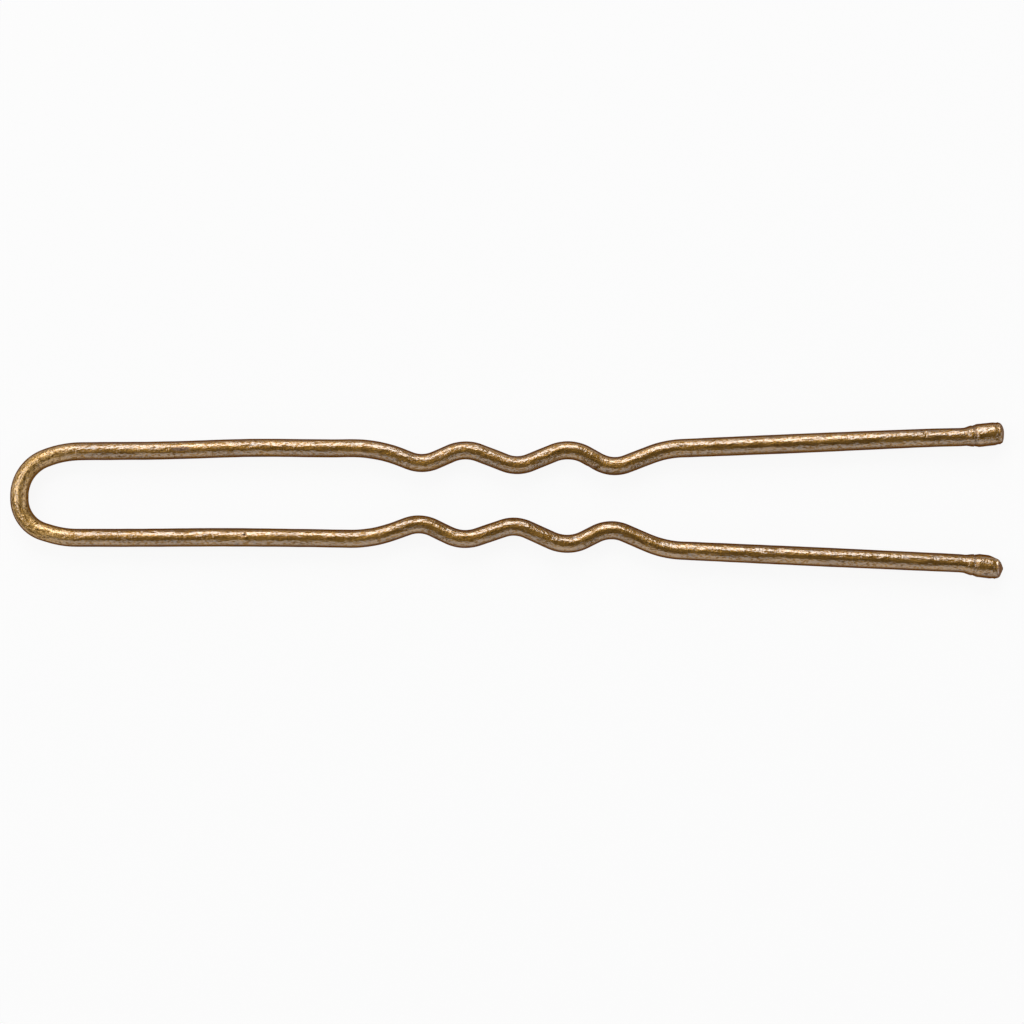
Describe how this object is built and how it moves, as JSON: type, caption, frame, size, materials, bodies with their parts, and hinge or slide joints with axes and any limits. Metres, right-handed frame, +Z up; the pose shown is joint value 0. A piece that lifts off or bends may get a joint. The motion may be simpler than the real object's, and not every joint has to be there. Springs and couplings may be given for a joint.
{
  "type": "waved hairpin",
  "caption": "Open U-shaped hairpin of round lacquered spring wire, with waved crimps half way along both legs and swollen rounded tips.",
  "frame": {"origin": "centre of the pin's box along and across the pin, on the plane that the pin lies on", "axes": "+X along the pin from the bow to the tips, +Y across the pin towards the leg that is uppermost in the picture, +Z up, square to the plane of the bent wire"},
  "size_m": [0.065, 0.0104, 0.0015],
  "materials": {
    "lacquered_wire": "bronze-gold lacquer over steel wire, glossy, slightly mottled",
    "lacquered_tip": "the same bronze-gold lacquer, brighter on the upset tip"
  },
  "bodies": {
    "bow": {"bow": "lacquered_wire", "upper_shank_root": "lacquered_wire", "lower_shank_root": "lacquered_wire"},
    "upper_leg": {"upper_shank": "lacquered_wire", "upper_crimps": "lacquered_wire", "upper_prong": "lacquered_wire", "upper_tip": "lacquered_tip"},
    "lower_leg": {"lower_shank": "lacquered_wire", "lower_crimps": "lacquered_wire", "lower_prong": "lacquered_wire", "lower_tip": "lacquered_tip"}
  },
  "joints": [
    {"name": "upper_leg_flex", "type": "hinge", "parent": "bow", "child": "upper_leg", "pos_m": [-0.0185, 0.00303, 0.00077], "axis": [0, 0, 1], "range_deg": [-3, 8], "stiffness_Nm_per_rad": 0.6},
    {"name": "lower_leg_flex", "type": "hinge", "parent": "bow", "child": "lower_leg", "pos_m": [-0.0185, -0.00277, 0.00077], "axis": [0, 0, -1], "range_deg": [-3, 8], "stiffness_Nm_per_rad": 0.6}
  ]
}
